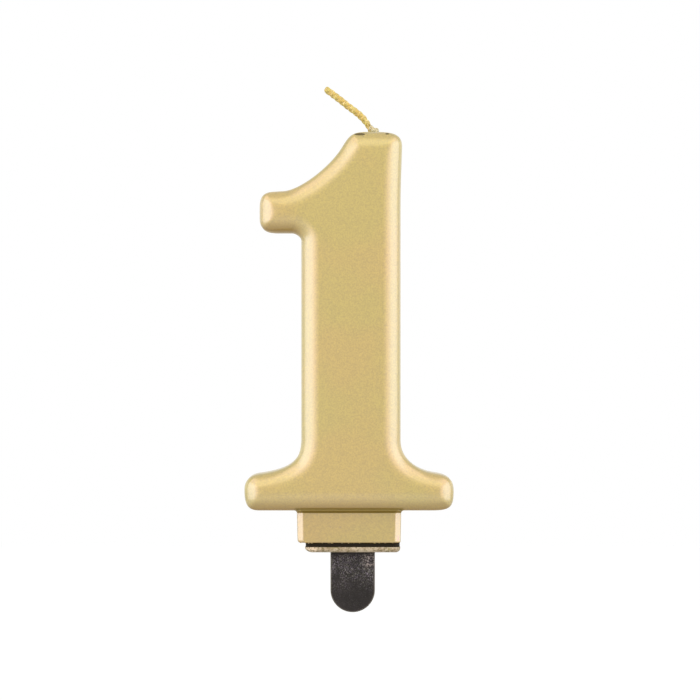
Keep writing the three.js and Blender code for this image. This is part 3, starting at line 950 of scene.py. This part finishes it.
# The wick's middle line, as close points with their distance along it.
knots = [Vector((x, 0, z)) for x, z in wick_line]
route = []
for k in range(len(knots) - 1):
    start, end = knots[k:k + 2]
    before = knots[max(k - 1, 0)]
    after = knots[min(k + 2, len(knots) - 1)]
    chord = (end - start).length
    leaving = (end - before).normalized() * chord / 3
    arriving = (after - start).normalized() * chord / 3
    route += interpolate_bezier(start, start + leaving, end - arriving, end, 24)[:-1]
route.append(knots[-1])
reach = [0]
for k in range(1, len(route)):
    reach.append(reach[-1] + (route[k] - route[k - 1]).length)
wick_length = reach[-1]
shown_from = next(reach[k] for k in range(len(route)) if route[k].z > shown_z)
stations = [k * hidden_step for k in range(int(shown_from / hidden_step))]
shown_length = wick_length - shown_from
shown_count = math.ceil(shown_length / shown_step)
stations += [shown_from + shown_length * k / shown_count for k in range(shown_count + 1)]


def wick_frame(distance):
    """The wick's middle and its direction at a distance along it."""
    k = next((k for k in range(1, len(reach)) if reach[k] >= distance), len(reach) - 1)
    share = (distance - reach[k - 1]) / (reach[k] - reach[k - 1])
    return route[k - 1].lerp(route[k], share), (route[k] - route[k - 1]).normalized()


def wick_scale(distance):
    """How thick the wick is: thinner at its root and rounded off at its tip."""
    middle, forward = wick_frame(distance)
    full = min(max((middle.z - thin_below_z) / thicken_height, 0), 1) if middle.z > shown_z else 1
    scale = thin_root + (1 - thin_root) * full
    left_over = min((wick_length - distance) / tip_length, 1)
    return scale * math.sqrt(max(1 - (1 - left_over) ** 2, tip_least ** 2))


frames = [(distance, *wick_frame(distance), wick_scale(distance)) for distance in stations]
wick = bmesh.new()
wick.verts.layers.float_vector.new("straight_place")
wick.verts.layers.float.new("crevice")
spin_rate = math.pi / (strand_pairs * braid_step)


def add_tube(path_of, sides, tone):
    """A closed tube along the wick. path_of gives its distance and angle from the wick's middle,
    its slant, half width and half height at a station. Each vertex keeps its place on the straight
    wick, moved along with the tone so that no two strands look alike, and how far out it lies."""
    rings = []
    records = []
    for distance, middle, forward, scale in frames:
        radius, angle, slant, wide, tall = path_of(distance)
        outward = Vector((math.cos(angle), math.sin(angle)))
        across = Vector((-math.sin(angle), math.cos(angle))) * math.cos(slant)
        ring = []
        for k in range(sides):
            turn = 2 * math.pi * k / sides
            flat = outward * (radius + tall * math.cos(turn)) + across * wide * math.sin(turn)
            up = -math.sin(slant) * wide * math.sin(turn)
            sideways = Vector((forward.z, 0, -forward.x))
            section = sideways * flat.x + Vector((0, 1, 0)) * flat.y
            placed = middle + section * scale + forward * up * scale
            ring.append(placed)
            straight_place = (angle * 0.3 + tone * 7, tone, distance + up)
            records.append((placed.copy().freeze(), straight_place, flat.length))
        rings.append(ring)
    tube = bmesh.new()
    place_layer = tube.verts.layers.float_vector.new("straight_place")
    crevice_layer = tube.verts.layers.float.new("crevice")
    skin(tube, rings, merge=0.00001)
    known = {record[0]: record for record in records}
    for vertex in tube.verts:
        record = known.get(vertex.co.copy().freeze())
        if record:
            vertex[place_layer] = record[1]
            vertex[crevice_layer] = record[2]
    data = bpy.data.meshes.new("strand")
    tube.to_mesh(data)
    tube.free()
    wick.from_mesh(data)
    bpy.data.meshes.remove(data)


def strand_path(direction, pair):
    """The path of a strand, for add_tube, where direction is 1 or -1, the way it winds."""
    def path(distance):
        weave = math.cos(strand_pairs * spin_rate * distance) * direction
        radius = braid_radius + braid_weave * weave
        angle = 2 * math.pi * pair / strand_pairs + direction * spin_rate * distance
        slant = direction * math.atan(spin_rate * braid_radius)
        return radius, angle, slant, strand_half_width, strand_half_height
    return path


for pair in range(strand_pairs):
    add_tube(strand_path(1, pair), strand_sides, pair)
for pair in range(strand_pairs):
    add_tube(strand_path(-1, pair), strand_sides, pair + strand_pairs)
add_tube(lambda distance: (0, 0, 0, core_radius, core_radius), core_sides, 9)

# A loose yarn that has sprung out of the braid beside the root. It tapers and is a little lumpy.
yarn_line = [(2.75, -0.42, 82.0), (3.2, -0.72, 81.75), (3.62, -0.75, 81.45), (3.98, -0.62, 81.12)]
yarn_steps = 15
yarn_sides = 8
yarn_radius = 0.10
yarn_taper = 0.6
yarn_lump = 0.015
yarn_points = interpolate_bezier(*[Vector(spot) for spot in yarn_line], yarn_steps + 1)
yarn_rings = []
for k, middle in enumerate(yarn_points):
    forward = (yarn_points[min(k + 1, yarn_steps)] - yarn_points[max(k - 1, 0)]).normalized()
    turned = forward.to_track_quat("Z", "Y").to_matrix()
    radius = yarn_radius * (1 - yarn_taper * (k / yarn_steps) ** 2) + yarn_lump * math.sin(k * 1.9)
    ring = []
    for side in range(yarn_sides):
        angle = side * 2 * math.pi / yarn_sides
        ring.append(middle + turned @ Vector((radius * math.cos(angle), radius * math.sin(angle), 0)))
    yarn_rings.append(ring)
skin(wick, yarn_rings, merge=0.00001)
braid = solid("braided_wick", wick)

# The cotton's colours follow the strands, with cream tufts, and painted shade darkens the crevices.
cotton_tan = (0.45, 0.345, 0.072)
cotton_green = (0.44, 0.400, 0.090)
tuft_cream = (0.76, 0.65, 0.32)
crevice_shade_brown = (0.38, 0.32, 0.10)
cotton, tree, thread = new_material("gold_sprayed_cotton")
along = add_node(tree, "Attribute", attribute_name="straight_place").outputs["Vector"]
depth = add_node(tree, "Attribute", attribute_name="crevice").outputs["Fac"]
tuft = noise(tree, along, scale=0.9, detail=2)
colour = coloured(tree, ramp(tree, tuft, 0.40, 0.60), cotton_tan, cotton_green)
cream = flecked(tree, along, scale=1.7, share=0.46, softness=0.08)
colour = coloured(tree, times(tree, cream, 0.6), colour, tuft_cream)
stretched = add_node(tree, "VectorMath", {
    0: along, 1: (9.0, 1.0, 1.2),
}, operation="MULTIPLY").outputs[0]
fibre = grained(tree, stretched, scale=3.0, amount=0.12)
colour = coloured(tree, 1.0, colour, fibre["Value"], "MULTIPLY")
# Painted shade: the inner parts of the strands, in the braid's crevices, are darkened to brown.
outer = ramp(tree, depth, 0.54, 0.66)
colour = coloured(tree, outer, crevice_shade_brown, colour)
tree.links.new(colour, thread["Base Color"])
thread["Roughness"].default_value = 0.5
thread["Coat Weight"].default_value = 0.15
thread["Coat Roughness"].default_value = 0.35
ridged = add_node(tree, "Bump", {"Height": fibre["Height"], "Strength": 0.4, "Distance": 0.03 * MM})
tree.links.new(ridged.outputs["Normal"], thread["Normal"])
hand_over(braid, [cotton], sharp_angle=60)
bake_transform(braid)
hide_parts("wick_core", "wick_tip")


# The drop: clear wax that ran down beside the wick and set on top of the candle, right of its root.
# Its lumps, each with its middle and its half sizes, are melted into one and cut off flat below.
drop_lumps = [
    ((4.50, -1.20, 80.50), (0.52, 0.58, 0.52)), ((4.05, -1.15, 80.55), (0.55, 0.60, 0.52)),
    ((3.55, -1.05, 80.85), (0.48, 0.50, 0.66)), ((4.62, -1.25, 80.15), (0.46, 0.55, 0.40)),
]
drop_voxel = 0.06
drop_bottom = 80.02
drop = bmesh.new()
for middle, size in drop_lumps:
    bmesh.ops.create_icosphere(drop, subdivisions=4, radius=1,
                               matrix=Matrix.Translation(middle) @ Matrix.Diagonal((*size, 1)))
drop_of_wax = solid("wax_drop", drop)
melt = drop_of_wax.modifiers.new("melt", "REMESH")
melt.mode = "VOXEL"
melt.voxel_size = drop_voxel
smooth = drop_of_wax.modifiers.new("smooth", "SMOOTH")
smooth.iterations = 14
melted = drop_of_wax.evaluated_get(bpy.context.evaluated_depsgraph_get())
lump = bmesh.new()
lump.from_mesh(melted.to_mesh())
drop_of_wax.modifiers.clear()
cut = bmesh.ops.bisect_plane(lump, geom=lump.verts[:] + lump.edges[:] + lump.faces[:],
                             plane_co=(0, 0, drop_bottom), plane_no=(0, 0, 1), clear_inner=True)
rim = [item for item in cut["geom_cut"] if isinstance(item, bmesh.types.BMEdge)]
bmesh.ops.holes_fill(lump, edges=rim, sides=0)
bmesh.ops.recalc_face_normals(lump, faces=lump.faces)
lump.to_mesh(drop_of_wax.data)
lump.free()

drop_olive = (0.62, 0.60, 0.38)
clear, tree, glassy = new_material("clear_wax")
milky = grained(tree, add_node(tree, "TexCoord").outputs["Object"], scale=1100, amount=0.10)
tree.links.new(coloured(tree, 1.0, drop_olive, milky["Value"], "MULTIPLY"), glassy["Base Color"])
ripple = add_node(tree, "Bump", {"Height": milky["Height"], "Strength": 0.15, "Distance": 0.04 * MM})
tree.links.new(ripple.outputs["Normal"], glassy["Normal"])
glassy["Roughness"].default_value = 0.22
glassy["Transmission Weight"].default_value = 0.55
glassy["IOR"].default_value = 1.44
hand_over(drop_of_wax, [clear], sharp_angle=60)
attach(drop_of_wax, "candle")
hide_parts("wick_seal")
